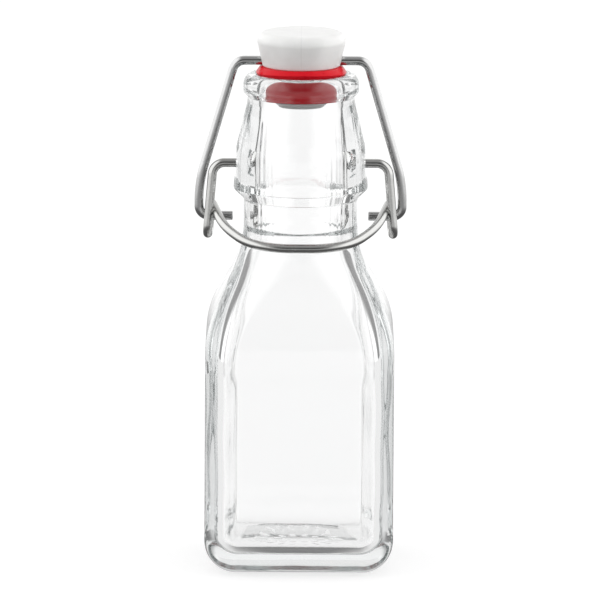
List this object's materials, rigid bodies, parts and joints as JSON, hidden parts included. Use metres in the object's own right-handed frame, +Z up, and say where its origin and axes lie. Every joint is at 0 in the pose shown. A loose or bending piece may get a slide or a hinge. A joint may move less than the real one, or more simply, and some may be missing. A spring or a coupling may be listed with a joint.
{
  "type": "swing-top bottle",
  "caption": "Square clear-glass bottle with a round neck and a wire-bail swing-top stopper with a rubber gasket, empty and closed.",
  "frame": {"origin": "middle of the base, on the surface that the bottle stands on", "axes": "+Z up along the neck, -Y to the front where the lever's handle is, +X to the right"},
  "size_m": [0.0608, 0.054, 0.1537],
  "materials": {
    "clear_glass": "smooth clear glass",
    "lever_steel": "drawn bright wire",
    "bail_steel": "drawn bright wire",
    "white_plastic": "satin",
    "red_rubber": "soft satin rubber"
  },
  "bodies": {
    "bottle": {"bottle": "clear_glass"},
    "lever": {"lever_wire": "lever_steel"},
    "bail": {"bail_wire": "bail_steel"},
    "stopper": {"stopper": "white_plastic", "gasket": "red_rubber"}
  },
  "joints": [
    {"name": "lever_hinge", "type": "hinge", "parent": "bottle", "child": "lever", "pos_m": [0, 0, 0.1156], "axis": [-1, 0, 0], "range_deg": [0, 98]},
    {"name": "bail_hinge", "type": "hinge", "parent": "lever", "child": "bail", "pos_m": [0, 0.002, 0.0999], "axis": [-1, 0, 0], "range_deg": [-66.6, 0]},
    {"name": "stopper_hinge", "type": "hinge", "parent": "bail", "child": "stopper", "pos_m": [0, 0, 0.14525], "axis": [-1, 0, 0], "range_deg": [-20.7, 0]}
  ],
  "couplings": [
    {"joint": "bail_hinge", "follows": "lever_hinge", "ratio": -0.679},
    {"joint": "stopper_hinge", "follows": "lever_hinge", "ratio": -0.211}
  ]
}
